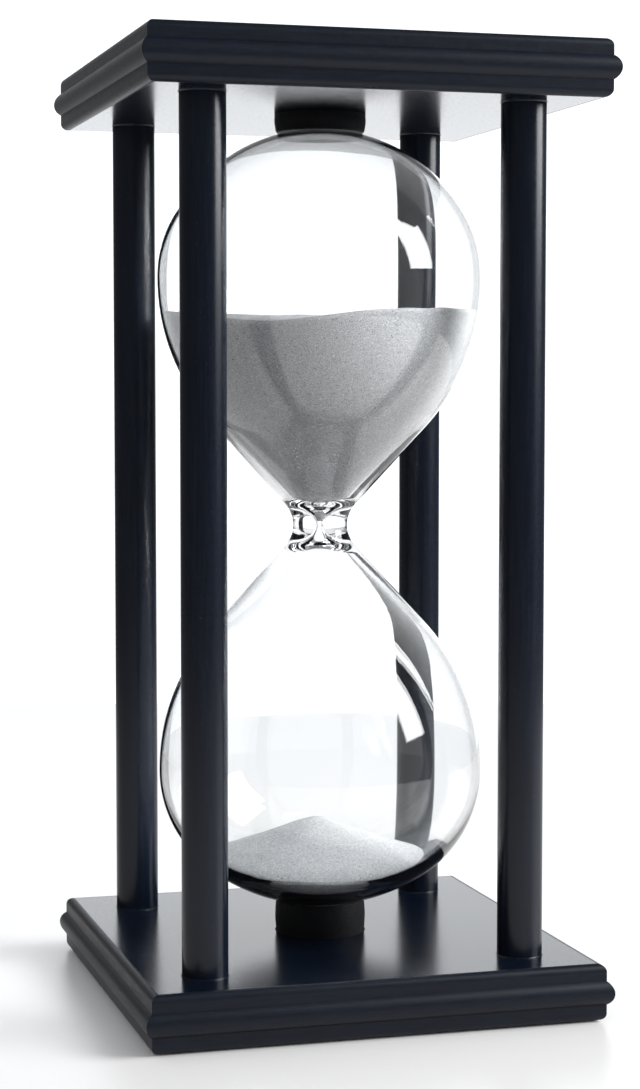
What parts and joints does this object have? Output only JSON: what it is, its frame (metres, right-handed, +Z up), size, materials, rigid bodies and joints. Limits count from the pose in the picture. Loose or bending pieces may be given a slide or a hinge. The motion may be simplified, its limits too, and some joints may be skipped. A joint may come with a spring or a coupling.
{
  "type": "hourglass",
  "caption": "Hourglass: a blown double glass bulb of fine pale sand, held on soft seats between square moulded black plates joined by plain round posts.",
  "frame": {"origin": "centre of the resting face, under the axis of the glass, on the surface the hourglass stands on", "axes": "+Z up along the axis of the glass; -Y towards the front posts, +X towards the right posts"},
  "size_m": [0.125, 0.125, 0.2556],
  "materials": {
    "plate_lacquer": "satin",
    "post_lacquer": "gloss",
    "seat_foam": "matte",
    "clear_glass": "polished",
    "fine_sand": "matte",
    "screw_steel": "satin",
    "pad_felt": "matte"
  },
  "bodies": {
    "frame": {"bottom_plate": "plate_lacquer", "top_plate": "plate_lacquer", "post_front_left": "post_lacquer", "post_front_right": "post_lacquer", "post_back_left": "post_lacquer", "post_back_right": "post_lacquer", "post_screws_bottom": "screw_steel", "post_screws_top": "screw_steel", "pad_bottom_front_left": "pad_felt", "pad_bottom_front_right": "pad_felt", "pad_bottom_back_left": "pad_felt", "pad_bottom_back_right": "pad_felt", "pad_top_front_left": "pad_felt", "pad_top_front_right": "pad_felt", "pad_top_back_left": "pad_felt", "pad_top_back_right": "pad_felt", "lower_seat": "seat_foam", "upper_seat": "seat_foam"},
    "glass": {"glass_bulbs": "clear_glass", "upper_sand": "fine_sand", "lower_sand": "fine_sand"}
  },
  "joints": [
    {"name": "glass_turn", "type": "hinge", "parent": "frame", "child": "glass", "pos_m": [0, 0, 0.1283], "axis": [0, 0, 1], "continuous": true}
  ]
}
